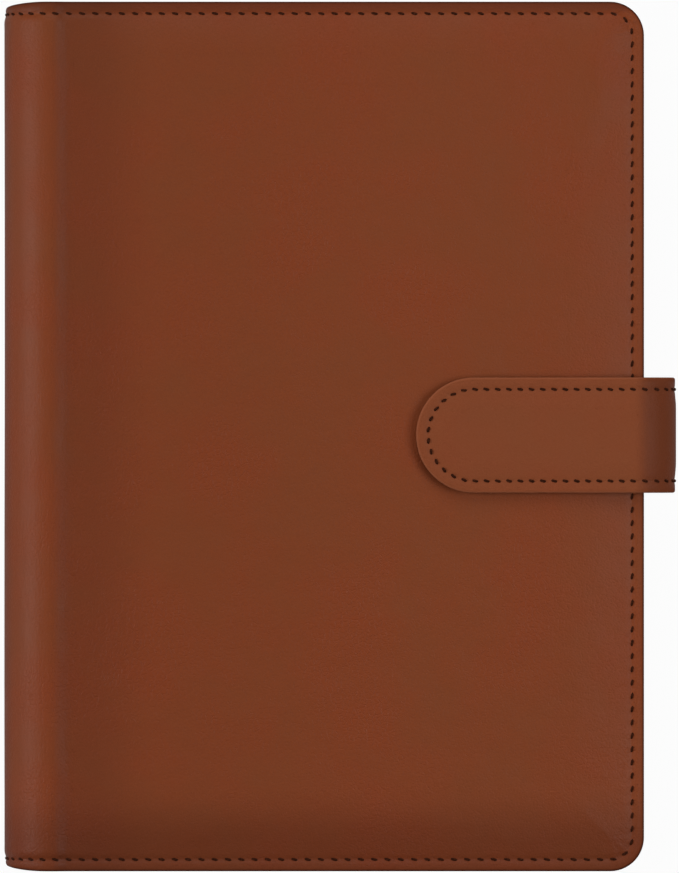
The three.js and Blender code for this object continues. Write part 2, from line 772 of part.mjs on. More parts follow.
// The pull tab lies flat along the zip, with the bridge through its hole.
function zipPull(x, z) {
  const middleX = x + zipWidth / 2;
  const topY = zipLength / 2 - zipStopLength - sliderStart;
  const bridgeY = topY - sliderLength / 2;
  const holeTopY = bridgeY + pullClearance;
  const lowZ = z + sliderThickness / 2 + pullClearance / 2;
  const highZ = lowZ + pullThickness;
  const half = pullWidth / 2;
  const rimTopY = bridgeY + bridgeLength / 2 - bridgeWire - pullClearance;
  const lowY = rimTopY - pullLength;
  const bottomHalf = half * pullBottomShare;
  const shoulderHalf = half * pullShoulderShare;
  const topHalf = half * pullTopShare;
  const shoulderY = rimTopY - pullShoulder;
  const plan = [
    [middleX - bottomHalf, lowY], [middleX + bottomHalf, lowY], [middleX + half, lowY + pullCorner],
    [middleX + shoulderHalf, shoulderY], [middleX + topHalf, rimTopY],
    [middleX - topHalf, rimTopY], [middleX - shoulderHalf, shoulderY], [middleX - half, lowY + pullCorner],
  ];
  const holeHalf = bridgeWidth / 2 + pullClearance;
  const hole = block(
    middleX - holeHalf, middleX + holeHalf, holeTopY - pullHoleLength, holeTopY, lowZ - 1, highZ + 1,
  );
  return cut(alongZ(plan, lowZ, highZ), [hole]);
}

function addContents() {
  const middle = (envelopeCount - 1) / 2;
  for (let i = 0; i < envelopeCount; i += 1) {
    const ringOffset = (i - middle) * ringPitch;
    const foreOffset = (i - middle) * zipPitch;
    const pouch = punchedSheet(ringOffset, foreOffset, envelopeWidth, envelopeHeight, filmThickness);
    const zipX = pouch.rightX + zipGap;
    addPiece(`envelope_${i + 1}`, pouch.geometry, clearFilm);
    addPiece(`envelope_${i + 1}_zip`, zipTrack(zipX, pouch.foreZ), zipTape);
    addPiece(`envelope_${i + 1}_slider`, zipSlider(zipX, pouch.foreZ), brightSteel);
    addPiece(`envelope_${i + 1}_pull`, zipPull(zipX, pouch.foreZ), brightSteel);
  }
  const sheets = punchedSheet(-sheetsRingDrop, -sheetsForeDrop, sheetsWidth, sheetsHeight, sheetsThickness);
  addPiece('budget_sheets', sheets.geometry, whitePaper);
}

// Inside pockets

function addPockets() {
  const bottomY = -halfHeight + pocketMarginY;
  const topY = halfHeight - pocketMarginY;
  const innerZ = coverThickness + glueLine;
  const slip = block(pocketLeftX, pocketRightX, bottomY, slipPocketTopY, innerZ, innerZ + pocketSheet);
  addPiece('back_slip_pocket', slip, brownLeather);
  const slotHeight = (topY - bottomY - cardSlotGap * (cardSlotCount - 1)) / cardSlotCount;
  for (let i = 0; i < cardSlotCount; i += 1) {
    const fromY = bottomY + i * (slotHeight + cardSlotGap);
    const strip = block(pocketLeftX, pocketRightX, fromY, fromY + slotHeight, innerZ, innerZ + pocketSheet);
    addPiece(`front_card_slot_${i + 1}`, turnedToFront(strip), brownLeather);
  }
}

addCovers();
addSpine();
addRings();
addStrap();
addContents();
addPockets();

export default wallet;
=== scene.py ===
"""Looks of a brown six-ring cash envelope wallet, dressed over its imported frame."""

import json
import logging
import math
from dataclasses import dataclass, field
from enum import Enum
from typing import Any, Sequence

import bmesh
import bpy
import numpy as np
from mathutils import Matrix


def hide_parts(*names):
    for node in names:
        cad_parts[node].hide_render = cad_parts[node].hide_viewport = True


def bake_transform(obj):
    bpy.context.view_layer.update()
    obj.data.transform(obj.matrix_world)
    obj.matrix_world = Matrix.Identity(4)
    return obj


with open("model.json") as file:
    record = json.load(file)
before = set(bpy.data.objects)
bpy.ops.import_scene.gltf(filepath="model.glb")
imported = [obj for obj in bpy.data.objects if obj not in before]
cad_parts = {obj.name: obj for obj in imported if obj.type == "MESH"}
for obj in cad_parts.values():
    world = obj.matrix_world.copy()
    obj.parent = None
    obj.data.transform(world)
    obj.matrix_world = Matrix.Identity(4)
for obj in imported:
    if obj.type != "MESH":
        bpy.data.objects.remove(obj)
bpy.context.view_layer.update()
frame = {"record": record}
LOG = logging.getLogger("wallet")

MM = 0.001
IMAGE_HEIGHT_PX = 873
COVER_HEIGHT_PX = 870.1
CAMERA_OFFSET_PX = 15.9
SLANT = math.radians(-15)


class Side(Enum):
    """Which cover a piece of leather belongs to."""

    FRONT = 1
    BACK = -1


@dataclass(frozen=True)
class WalletSizes:
    """Sizes of the closed wallet, in metres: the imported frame's, and the leather's own finer forms."""

    half_height: float = 95 * MM
    fore_edge_x: float = 70 * MM
    spine_x: float = -70 * MM
    thickness: float = 36 * MM
    corner: float = 7.4 * MM
    roll: float = 11 * MM
    hinge_strip_x: float = -50 * MM
    valley_x: float = -55.6 * MM
    valley_end_x: float = -40 * MM
    valley_dip: float = 0.75 * MM
    band_drop: float = 1.1 * MM
    hinge_band_drop: float = 0.25 * MM
    spine_taper: float = 1.0 * MM
    crown_width: float = 18 * MM
    head_crown_width: float = 11 * MM
    stitch_inset: float = 2.6 * MM
    stitch_pitch: float = 2.9 * MM

    @property
    def roll_end_x(self) -> float:
        """Where the roll over the spine ends and the level cover begins."""
        return self.spine_x + self.roll


@dataclass(frozen=True)
class CoverRelief:
    """Depths and widths of the finer forms in the covers' leather, in metres."""

    skin_gap: float = 0.05 * MM
    wall: float = 0.5 * MM
    edge_round: float = 0.45 * MM
    crown_start: float = 3.5 * MM
    hinge_band_inset: float = 2.2 * MM
    hinge_band_fade: float = 2.4 * MM
    head_length: float = 60 * MM
    head_start: float = 70 * MM
    head_fade: float = 15 * MM
    thread_width: float = 0.62 * MM
    thread_dip: float = 0.16 * MM
    stitch_dip: float = 0.22 * MM
    bulge_inset: float = 4.6 * MM
    bulge_width: float = 1.1 * MM
    bulge_height: float = 0.07 * MM
    wave_height: float = 0.045 * MM
    calm_inset: float = 4 * MM
    calm_fade: float = 8 * MM
    calm_spine: float = 12 * MM
    thin_fade: float = 9 * MM
    thread_lift: float = 0.02 * MM
    stitch_reach: float = 0.2 * MM


SIZES = WalletSizes()
RELIEF = CoverRelief()


def smooth_step(value: np.ndarray) -> np.ndarray:
    """Three times the square less twice the cube of a value held between 0 and 1."""
    held = np.clip(value, 0.0, 1.0)
    return held * held * (3.0 - 2.0 * held)


def mesh_object(name: str, points: np.ndarray, faces: Sequence[Sequence[int]], uv: np.ndarray | None = None,
                values: dict[str, np.ndarray] | None = None) -> bpy.types.Object:
    """Make a smooth object from arrays.

    Args:
        name: Name of the piece.
        points: One row of x, y, z for each vertex.
        faces: Vertex numbers of each face.
        uv: One row of u, v for each vertex, or None.
        values: Attribute name to one value for each vertex.

    Returns:
        The linked object, at the origin.
    """
    mesh = bpy.data.meshes.new(name)
    mesh.from_pydata(np.asarray(points, float).tolist(), [], [list(map(int, face)) for face in faces])
    if uv is not None:
        corner = np.empty(len(mesh.loops), np.int32)
        mesh.loops.foreach_get("vertex_index", corner)
        mesh.uv_layers.new(name="surface").data.foreach_set("uv", uv[corner].astype(np.float32).ravel())
    for key, value in (values or {}).items():
        mesh.attributes.new(key, "FLOAT", "POINT").data.foreach_set("value", value.astype(np.float32))
    mesh.polygons.foreach_set("use_smooth", np.ones(len(mesh.polygons), bool))
    mesh.update()
    piece = bpy.data.objects.new(name, mesh)
    bpy.context.scene.collection.objects.link(piece)
    return piece


def tidy_mesh(piece: bpy.types.Object, outward: bool = True) -> None:
    """Merge points that lie on each other, and turn the faces of a closed form outward."""
    work = bmesh.new()
    work.from_mesh(piece.data)
    bmesh.ops.remove_doubles(work, verts=work.verts, dist=0.002 * MM)
    bmesh.ops.dissolve_degenerate(work, edges=work.edges, dist=0.0005 * MM)
    if outward:
        bmesh.ops.recalc_face_normals(work, faces=work.faces)
    work.to_mesh(piece.data)
    work.free()


def sharpen_rim(piece: bpy.types.Object) -> None:
    """Keep the shading of a sheet level right out to its open edges."""
    mesh = piece.data
    used = np.empty(len(mesh.loops), np.int32)
    mesh.loops.foreach_get("edge_index", used)
    rim = np.bincount(used, minlength=len(mesh.edges)) == 1
    mesh.attributes.new("sharp_edge", "BOOLEAN", "EDGE").data.foreach_set("value", rim)


def grid_faces(rows: int, columns: int, flip: bool = False, wrap: bool = False) -> np.ndarray:
    """Quads of a grid whose vertices run along each row in turn.

    Args:
        rows: Number of rows.
        columns: Vertices in a row.
        flip: Whether the faces look the other way.
        wrap: Whether the last column is joined to the first.

    Returns:
        Four vertex numbers for each quad.
    """
    across = columns if wrap else columns - 1
    row, column = np.meshgrid(np.arange(rows - 1), np.arange(across), indexing="ij")
    here = row * columns + column
    beside = row * columns + (column + 1) % columns
    quads = np.stack([here, beside, beside + columns, here + columns], -1).reshape(-1, 4)
    return quads[:, ::-1] if flip else quads


class Wire:
    """A shader socket on which maths can be written as an expression."""

    def __init__(self, graph: "Graph", socket: bpy.types.NodeSocket) -> None:
        """Keep the graph and the socket."""
        self.graph = graph
        self.socket = socket

    def maths(self, operation: str, *others: Any) -> "Wire":
        """The result of a Math node with this value first."""
        return self.graph.add("ShaderNodeMath", {"operation": operation}, dict(enumerate([self, *others])))

    def __add__(self, other: Any) -> "Wire":
        """The sum."""
        return self.maths("ADD", other)

    def __mul__(self, other: Any) -> "Wire":
        """The product."""
        return self.maths("MULTIPLY", other)

    def ramp(self, low: float, high: float, to_low: float = 0.0, to_high: float = 1.0) -> "Wire":
        """This value carried smoothly from one range to another, and held there."""
        inputs = {"Value": self, "From Min": low, "From Max": high, "To Min": to_low, "To Max": to_high}
        return self.graph.add("ShaderNodeMapRange", {"interpolation_type": "SMOOTHSTEP"}, inputs)


class Graph:
    """A material's node tree with one way to add any node."""

    def __init__(self, name: str) -> None:
        """Start a material with only its shader and output."""
        self.material = bpy.data.materials.new(name)
        self.material.use_nodes = True
        self.nodes = self.material.node_tree.nodes
        self.links = self.material.node_tree.links
        self.shader = self.nodes["Principled BSDF"]

    def put(self, node: bpy.types.Node, key: Any, value: Any) -> None:
        """Give one input of a node a link or a value."""
        socket = node.inputs[key]
        if isinstance(value, Wire):
            self.links.new(value.socket, socket)
        else:
            socket.default_value = value

    def add(self, kind: str, settings: dict[str, Any] | None = None, inputs: dict[Any, Any] | None = None,
            output: Any = 0) -> Wire:
        """Add a node.

        Args:
            kind: The node's type.
            settings: Its own settings, set first.
            inputs: Values or links of its sockets.
            output: Name or number of the output that is wanted.

        Returns:
            That output.
        """
        node = self.nodes.new(kind)
        for key, value in (settings or {}).items():
            setattr(node, key, value)
        for key, value in (inputs or {}).items():
            self.put(node, key, value)
        return Wire(self, node.outputs[output])

    def place(self) -> Wire:
        """Object coordinates, in metres."""
        return self.add("ShaderNodeTexCoord", output="Object")

    def value_of(self, attribute: str) -> Wire:
        """A value that the mesh carries."""
        return self.add("ShaderNodeAttribute", {"attribute_name": attribute}, output="Fac")

    def noise(self, where: Wire, size: float, detail: float = 3.0, rough: float = 0.55) -> Wire:
        """Noise whose lumps are about `size` metres."""
        return self.add("ShaderNodeTexNoise", None, {"Vector": where, "Scale": 1 / size, "Detail": detail,
                                                     "Roughness": rough})

    def cells(self, where: Wire, size: float, feature: str = "F1") -> Wire:
        """Distance in cells of about `size` metres."""
        return self.add("ShaderNodeTexVoronoi", {"feature": feature}, {"Vector": where, "Scale": 1 / size})

    def mix(self, share: Any, first: Any, second: Any) -> Wire:
        """Two colours mixed."""
        return self.add("ShaderNodeMix", {"data_type": "RGBA"}, {0: share, 6: first, 7: second}, 2)

    def bump(self, height: Any, depth: float, normal: Wire | None = None) -> Wire:
        """Bump from a height of 0 to 1 that stands for `depth` metres."""
        inputs = {"Height": height, "Distance": depth}
        if normal is not None:
            inputs["Normal"] = normal
        return self.add("ShaderNodeBump", None, inputs)

    def finish(self, **sockets: Any) -> bpy.types.Material:
        """Set the shader's sockets, named with _ for spaces, and give the material."""
        for key, value in sockets.items():
            self.put(self.shader, key.replace("_", " "), value)
        return self.material


def tone(red: float, green: float, blue: float) -> tuple[float, float, float, float]:
    """A colour written in 0 to 255 as a screen shows it, as linear light."""
    shown = np.array([red, green, blue]) / 255
    linear = np.where(shown <= 0.04045, shown / 12.92, ((shown + 0.055) / 1.055) ** 2.4)
    return (*linear.tolist(), 1.0)


@dataclass(frozen=True)
class PaintedShade:
    """A darker stretch of painted shade along X (0) or Y (1), where the surface turns from the lamps.

    It sets in between `clear` and `full`, and may fade out again between `until` and `gone`.
    """

    axis: int
    clear: float
    full: float
    share: float
    until: float | None = None
    gone: float | None = None


COVER_PAINTED_SHADES = (
    # painted shade: darker towards the tail, where the crown slopes away from the lamps
    PaintedShade(1, -76 * MM, -89 * MM, 0.36),
    # painted shade: a darker band at the head, whose edge faces away from the lamps
    PaintedShade(1, 92 * MM, 94 * MM, 0.45),
    # painted shade: darker in the valley beside the roll
    PaintedShade(0, -36 * MM, -51 * MM, 0.24, -56 * MM, -60.5 * MM),
    # painted shade: faintly darker towards the spine, as the light falls off from the right
    PaintedShade(0, 25 * MM, -45 * MM, 0.08),
    # painted shade: darker on the spine's outer face, which turns away from the lamps
    PaintedShade(0, -67.6 * MM, -69.8 * MM, 0.35),
)
# painted shade: darker over the strap's bend
STRAP_PAINTED_SHADES = (PaintedShade(0, 67.5 * MM, 71.5 * MM, 0.42),)


@dataclass(frozen=True)
class SyntheticLeather:
    """Fine-grained brown synthetic leather with soft mottling, an edge colour and painted shade.

    Its colours are as a screen shows them. The edge colour is dark edge paint spread in as painted shade of
    the rounded edge; a light edge colour is a painted highlight. The shade colour is painted shade, which
    each painted shade stretch mixes in; `sheen` is the specular level, and `edged` says that the mesh
    carries each point's inset.
    """

    name: str
    base: tuple[float, float, float] = (118, 56, 26)
    warm: tuple[float, float, float] = (121, 54, 24)
    dull: tuple[float, float, float] = (115, 57, 28)
    edge: tuple[float, float, float] = (62, 22, 8)
    painted_shade_colour: tuple[float, float, float] = (62, 22, 8)
    roughness: float = 0.46
    sheen: float = 0.13
    edged: bool = True
    painted_shades: tuple[PaintedShade, ...] = ()

    def make(self) -> bpy.types.Material:
        """The material, with its grain in Object coordinates."""
        g = Graph(self.name)
        where = g.place()
        clouds = g.noise(where, 26 * MM, 4.0, 0.6).ramp(0.32, 0.68)
        patches = g.noise(where, 7 * MM, 5.0, 0.6).ramp(0.35, 0.68)
        pores = g.cells(where, 0.55 * MM)
        fine = g.noise(where, 0.28 * MM, 2.0)
        colour = g.mix(clouds, tone(*self.dull), tone(*self.warm))
        colour = g.mix(patches * 0.45, colour, tone(*self.base))
        colour = g.mix(fine.ramp(0.3, 0.75) * 0.14, colour, tone(*self.edge))
        # Edge colour by inset: dark edge paint, spread in as painted shade of the rounded edge; a light
        # edge colour is a painted highlight.
        if self.edged:
            inset = g.value_of("inset")
            colour = g.mix(inset.ramp(0.0, 0.65 * MM, 0.9, 0.0), colour, tone(*self.edge))
        # Painted shade: each stretch mixes the shade colour into the leather where the surface turns from
        # the lamps.
        for shade in self.painted_shades:
            along = g.add("ShaderNodeSeparateXYZ", None, {0: where}, shade.axis)
            share = along.ramp(shade.clear, shade.full, 0.0, shade.share)
            if shade.until is not None:
                share = share * along.ramp(shade.until, shade.gone, 1.0, 0.0)
            colour = g.mix(share, colour, tone(*self.painted_shade_colour))
        creases = g.cells(where, 1.1 * MM, "DISTANCE_TO_EDGE").ramp(0.0, 0.14)
        relief = pores.ramp(0.05, 0.6) * 0.5 + fine * 0.3 + creases * clouds * 0.6
        shape = g.bump(relief, 0.07 * MM)
        swell = g.bump(g.noise(where, 9 * MM, 2.0), 0.35 * MM, shape)
        rough = fine.ramp(0.2, 0.8, self.roughness - 0.05, self.roughness + 0.08)
        if self.edged:
            rough = rough + g.value_of("inset").ramp(0.2 * MM, 1.5 * MM, 0.4, 0.0)
        return g.finish(Base_Color=colour, Roughness=rough, Normal=swell, Specular_IOR_Level=self.sheen)


@dataclass(frozen=True)
class Thread:
    """Waxed brown sewing thread with a twist along each stitch."""

    name: str
    colour: tuple[float, float, float] = (44, 19, 9)
    glint: tuple[float, float, float] = (96, 48, 27)

    def make(self) -> bpy.types.Material:
        """The material."""
        g = Graph(self.name)
        where = g.place()
        strands = g.noise(where, 0.22 * MM, 2.0).ramp(0.45, 0.75)
        colour = g.mix(strands * 0.5, tone(*self.colour), tone(*self.glint))
        return g.finish(Base_Color=colour, Roughness=0.8, Specular_IOR_Level=0.05,
                        Normal=g.bump(strands, 0.06 * MM))


@dataclass(frozen=True)
class PlainFinish:
    """A board, lining, film, paper or metal with a fine grain and slight unevenness."""

    name: str
    colour: tuple[float, float, float]
    roughness: float = 0.6
    metallic: float = 0.0
    grain: float = 0.5 * MM
    depth: float = 0.02 * MM
    spread: float = 0.12
    alpha: float = 1.0

    def make(self) -> bpy.types.Material:
        """The material."""
        g = Graph(self.name)
        where = g.place()
        grain = g.noise(where, self.grain, 3.0)
        broad = g.noise(where, 12 * MM, 3.0).ramp(0.3, 0.7)
        low = tone(*(v * (1 - self.spread) for v in self.colour))
        colour = g.mix(broad * 0.6 + grain * 0.4, low, tone(*self.colour))
        rough = grain.ramp(0.3, 0.7, max(self.roughness - 0.06, 0.02), self.roughness + 0.06)
        return g.finish(Base_Color=colour, Roughness=rough, Metallic=self.metallic,
                        Normal=g.bump(grain, self.depth), Alpha=self.alpha)


@dataclass(frozen=True)
class WovenLining:
    """Dark brown woven lining: two sets of threads that cross."""

    name: str
    colour: tuple[float, float, float] = (92, 52, 34)
    thread: float = 0.45 * MM

    def make(self) -> bpy.types.Material:
        """The material, with its threads along X and Y."""
        g = Graph(self.name)
        where = g.place()
        settings = {"wave_type": "BANDS", "wave_profile": "SIN"}
        turns = 2 * math.pi / self.thread / 20
        inputs = {"Vector": where, "Scale": turns, "Distortion": 0.6}
        along, across = (
            g.add("ShaderNodeTexWave", settings | {"bands_direction": direction}, inputs, 1)
            for direction in ("X", "Y")
        )
        weave = along * 0.5 + across * 0.5
        shade = g.noise(where, 8 * MM, 3.0).ramp(0.3, 0.7)
        deep = tone(*(v * 0.72 for v in self.colour))
        colour = g.mix(weave * 0.6 + shade * 0.3, deep, tone(*self.colour))
        return g.finish(Base_Color=colour, Roughness=0.8, Normal=g.bump(weave, 0.06 * MM))


@dataclass
class BorderGrid:
    """Rings set in from the border of a strip whose far end has round corners.

    The strip lies in s, along it, and t, across it. A ring starts on the line s = 0 at the
    upper edge, follows that edge, the far end and the lower edge, and ends on s = 0 again.
    """

    length: float
    half: float
    corner: float
    step: float
    corner_points: int = 14
    side: np.ndarray = field(init=False)
    end: np.ndarray = field(init=False)

    def __post_init__(self) -> None:
        """Work out the even shares along the sides and the end."""
        self.side = np.linspace(0, 1, max(int((self.length - self.corner) / self.step), 2), endpoint=False)
        straight = 2 * (self.half - self.corner)
        count = int(straight / self.step)
        self.end = np.linspace(0, 1, count + 1)[1:-1] if count > 1 else np.array([])

    def ring(self, inset: float) -> np.ndarray:
        """Points of the ring at a distance in from the border: straight sides joined by quarter circles."""
        high = max(self.half - inset, 0.0)
        radius = min(max(self.corner - inset, 0.25 * MM), high)
        far = self.length - inset
        turn = np.linspace(math.pi / 2, 0, self.corner_points)
        upper = np.stack([self.side * (far - radius), np.full(len(self.side), high)], 1)
        arc = np.stack([far - radius + radius * np.cos(turn), high - radius + radius * np.sin(turn)], 1)
        drop = np.stack([np.full(len(self.end), far), (high - radius) * (1 - 2 * self.end)], 1)
        mirror = np.concatenate([upper, arc])[::-1] * [1, -1]
        return np.concatenate([upper, arc, drop, mirror])

    def distance(self, inset: float) -> np.ndarray:
        """Length along the ring up to each of its points."""
        ring = self.ring(inset)
        return np.concatenate([[0], np.cumsum(np.linalg.norm(np.diff(ring, axis=0), axis=1))])


@dataclass
class StitchRow:
    """A row of slanted stitches, each a short arched thread that dips into the leather at both ends."""

    length: float = 1.7 * MM
    radius: float = 0.28 * MM
    slant: float = SLANT
    sides: int = 6

    def template(self) -> tuple[np.ndarray, np.ndarray]:
        """One stitch along its own x, rising along z as a flat arch, and its faces.

        Returns:
            Its points and quads: circles whose radius swells from the ends to the middle.
        """
        share = np.array([-1.0, -0.82, -0.4, 0.0, 0.4, 0.82, 1.0])
        swell = np.array([0.25, 0.8, 1.0, 1.0, 1.0, 0.8, 0.25]) * self.radius
        angle = 2 * math.pi * np.arange(self.sides) / self.sides
        x = np.repeat(share * self.length / 2, self.sides)
        y = (swell[:, None] * np.cos(angle)).ravel()
        rise = self.radius * (0.75 - 1.9 * share ** 4)
        z = (rise[:, None] + swell[:, None] * np.sin(angle)).ravel()
        return np.stack([x, y, z], 1), grid_faces(len(share), self.sides, wrap=True)

    def sew(self, name: str, centre: np.ndarray, along: np.ndarray, normal: np.ndarray) -> bpy.types.Object:
        """Sew a stitch at each place.

        Args:
            name: Name of the piece.
            centre: Middle of each stitch.
            along: Direction of the row there.
            normal: The surface's outward direction there.

        Returns:
            One object with every stitch.
        """
        across = np.cross(normal, along)
        lead = math.cos(self.slant) * along + math.sin(self.slant) * across
        beside = np.cross(normal, lead)
        shape, quads = self.template()
        points = (centre[:, None] + shape[:, 0, None] * lead[:, None] + shape[:, 1, None] * beside[:, None]
                  + shape[:, 2, None] * normal[:, None]).reshape(-1, 3)
        shift = (np.arange(len(centre)) * len(shape))[:, None, None]
        faces = [*(quads[None] + shift).reshape(-1, 4)]
        near = np.arange(self.sides)[::-1]
        far = np.arange(self.sides) + len(shape) - self.sides
        faces += [*(near[None] + shift[:, 0]), *(far[None] + shift[:, 0])]
        piece = mesh_object(name, points, faces)
        tidy_mesh(piece)
        return piece


def ring_places(grid: BorderGrid, inset: float, pitch: float, start: float, stop: float) -> np.ndarray:
    """Places along a ring, as its s and t, an even pitch apart between two lengths along it."""
    ring = grid.ring(inset)
    length = grid.distance(inset)
    count = int(round((stop - start) / pitch))
    wanted = start + (np.arange(count) + 0.5) * (stop - start) / count
    return np.stack([np.interp(wanted, length, ring[:, 0]), np.interp(wanted, length, ring[:, 1])], 1)


@dataclass
class CoverSkin:
    """One cover's leather, from the middle of the spine over the roll to the fore-edge."""

    side: Side
    leather: bpy.types.Material
    thread: bpy.types.Material
    sizes: WalletSizes = SIZES
    relief: CoverRelief = RELIEF
    step: float = 0.8 * MM

    def __post_init__(self) -> None:
        """Work out the strip's length and the grid on it."""
        z = self.sizes
        self.face = z.thickness / 2 - z.roll
        self.arc = z.roll * math.pi / 2
        self.flat = z.fore_edge_x - z.roll_end_x
        self.length = self.face + self.arc + self.flat
        self.grid = BorderGrid(self.length, z.half_height, z.corner, self.step)

    def path(self, s: np.ndarray) -> tuple[np.ndarray, np.ndarray, np.ndarray, np.ndarray]:
        """The cover's reference line: up the spine, a quarter circle, then level to the fore-edge.

        Args:
            s: Length along the line, in metres.

        Returns:
            x, z, and the outward normal's x and z.
        """
        z = self.sizes
        angle = math.pi - np.clip(s - self.face, 0, self.arc) / z.roll
        across, up = np.cos(angle), np.sin(angle)
        x = z.roll_end_x + z.roll * across + np.clip(s - self.face - self.arc, 0, None)
        height = z.thickness - z.roll + z.roll * up + np.clip(s - self.face, None, 0)
        if self.side is Side.BACK:
            return x, z.thickness - height, across, -up
        return x, height, across, up

    def level_x(self, s: np.ndarray) -> np.ndarray:
        """X of places on the level cover, carried on past the roll as if it were level too."""
        return self.sizes.roll_end_x + s - self.face - self.arc

    def crown(self, t: np.ndarray, inset: np.ndarray) -> np.ndarray:
        """Share of the band's drop: 1 on the band, a square down to 0 on the panel, sooner at the head."""
        z, r = self.sizes, self.relief
        headward = smooth_step((t - inset) / r.head_length)
        headward = headward * smooth_step((t + inset - r.head_start) / r.head_fade)
        width = z.crown_width + (z.head_crown_width - z.crown_width) * headward
        return (1 - np.clip((inset - r.crown_start) / (width - r.crown_start), 0, 1)) ** 2

    def seam(self, inset: np.ndarray, run: np.ndarray) -> np.ndarray:
        """Dip under the thread, deepest at each stitch, and a slight swell beside each stitch."""
        z, r = self.sizes, self.relief
        wave = 0.5 + 0.5 * np.cos(2 * math.pi * run / z.stitch_pitch)
        near = np.exp(-((inset - z.stitch_inset) / r.thread_width) ** 2)
        beside = np.exp(-((inset - r.bulge_inset) / r.bulge_width) ** 2)
        return near * (r.thread_dip + r.stitch_dip * wave) + beside * (wave - 0.5) * r.bulge_height

    def valley(self, x: np.ndarray) -> np.ndarray:
        """The valley by the roll: a squared sine, stretched so that it is lowest at valley_x."""
        z = self.sizes
        width = z.valley_end_x - z.roll_end_x
        share = (x - z.roll_end_x) / width
        low = (z.valley_x - z.roll_end_x) / width
        warped = np.where(share < low, 0.5 * share / low, 0.5 + 0.5 * (share - low) / (1 - low))
        return z.valley_dip * np.sin(math.pi * np.clip(warped, 0, 1)) ** 2

    def waves(self, s: np.ndarray, t: np.ndarray, inset: np.ndarray) -> np.ndarray:
        """Low waves over the panel, which die out at the border and on the spine."""
        r = self.relief
        calm = smooth_step((inset - r.calm_inset) / r.calm_fade) * smooth_step(s / r.calm_spine)
        along = np.sin(s / (17 * MM) + 1.3 * np.sin(t / (23 * MM)))
        across = np.sin(t / (29 * MM) + 0.7 + np.sin(s / (31 * MM)))
        return r.wave_height * calm * (along + across)

    def drop(self, s: np.ndarray, t: np.ndarray, inset: np.ndarray, run: np.ndarray) -> np.ndarray:
        """How far the leather lies below the reference line.

        Args:
            s: Length along the line.
            t: Place across it.
            inset: Distance in from the border.
            run: Length along the row of stitches.

        Returns:
            The drop: a rounded edge and a flat band that rise to the panel, with seam, valley and waves.
        """
        z, r = self.sizes, self.relief
        x = self.level_x(s)
        crown = self.crown(t, inset)
        edge = r.edge_round * np.exp(-inset / r.edge_round)
        panel = z.band_drop * crown + edge
        band = 1 - smooth_step((inset - r.hinge_band_inset) / r.hinge_band_fade)
        hinge = z.hinge_band_drop * band + edge
        blend = smooth_step((x - z.roll_end_x) / (z.hinge_strip_x - z.roll_end_x))
        level = hinge + (panel - hinge) * blend + r.skin_gap
        valley = self.valley(x) * (1 - crown * blend)
        return level + self.seam(inset, run) + valley + self.waves(s, t, inset)

    def place(self, s: np.ndarray, t: np.ndarray, drop: np.ndarray) -> np.ndarray:
        """Points at s and t, moved in along the normal by a drop; the border curls in on the spine."""
        x, height, across, up = self.path(s)
        shorter = self.sizes.spine_taper * (1 - smooth_step((s - self.face + 2 * MM) / self.arc))
        border = np.clip((np.abs(t) - self.sizes.half_height) / self.sizes.stitch_inset + 1, 0, 1)
        return np.stack([x - across * drop, t - np.sign(t) * border * shorter, height - up * drop], -1)

    def stations(self) -> tuple[np.ndarray, np.ndarray]:
        """Ring insets, and how far each lies below the band, from the turned edge to the middle."""
        turned = [(2.6, 2.15), (0.5, 2.15), (0.12, 2.0), (0.0, 1.7), (0.0, 0.6), (0.0, 0.2)]
        border = np.concatenate([
            np.arange(0.12, 1.2, 0.3), np.arange(1.3, 5.6, 0.3), np.arange(6.2, 14, 1.1),
        ])
        centre = np.linspace(15.5, 95, 26)
        insets = np.concatenate([[i for i, _ in turned], border, centre]) * MM
        below = np.concatenate([[d for _, d in turned], np.zeros(len(border) + len(centre))]) * MM
        return insets, below

    def build(self) -> bpy.types.Object:
        """The leather as rings from the turned-in edge to the middle of the panel."""
        insets, below = self.stations()
        rings = np.array([self.grid.ring(inset) for inset in insets])
        s, t = rings[..., 0], rings[..., 1]
        inset = np.repeat(insets[:, None], s.shape[1], 1)
        run = np.repeat(self.grid.distance(self.sizes.stitch_inset)[None], len(insets), 0)
        thin = 0.5 + 0.5 * smooth_step((self.level_x(s) - self.sizes.roll_end_x) / self.relief.thin_fade)
        drop = self.drop(s, t, inset, run) + below[:, None] * thin
        points = self.place(s, t, drop).reshape(-1, 3)
        faces = grid_faces(*s.shape, flip=self.side is Side.BACK)
        # The turned-in rings carry an inset of 0, so they take the edge colour: edge paint with painted
        # shade.
        shown = inset - np.where(below[:, None] > 0, inset, 0)
        uv = np.stack([run, inset], -1).reshape(-1, 2)
        name = f"{self.side.name.lower()}_leather_skin"
        skin = mesh_object(name, points, faces, uv, {"inset": shown.ravel()})
        tidy_mesh(skin, outward=False)
        sharpen_rim(skin)
        self.face_out(skin)
        wall = skin.modifiers.new("wall", "SOLIDIFY")
        wall.thickness = self.relief.wall
        wall.offset = -1
        skin.data.materials.append(self.leather)
        return skin

    def face_out(self, skin: bpy.types.Object) -> None:
        """Turn the skin over if the face in the middle of its panel looks inward."""
        best = min(skin.data.polygons, key=lambda p: (p.center.x ** 2 + p.center.y ** 2))
        if best.normal.z * self.side.value < 0:
            skin.data.flip_normals()

    def frame_at(self, place: np.ndarray, lift: float) -> tuple[np.ndarray, np.ndarray]:
        """Points on the skin at rows of s and t, and the normals there."""
        inset = np.full(len(place), self.sizes.stitch_inset)
        drop = self.drop(place[:, 0], place[:, 1], inset, np.zeros(len(place))) - lift
        _, _, across, up = self.path(place[:, 0])
        return self.place(place[:, 0], place[:, 1], drop), np.stack([across, np.zeros_like(up), up], 1)

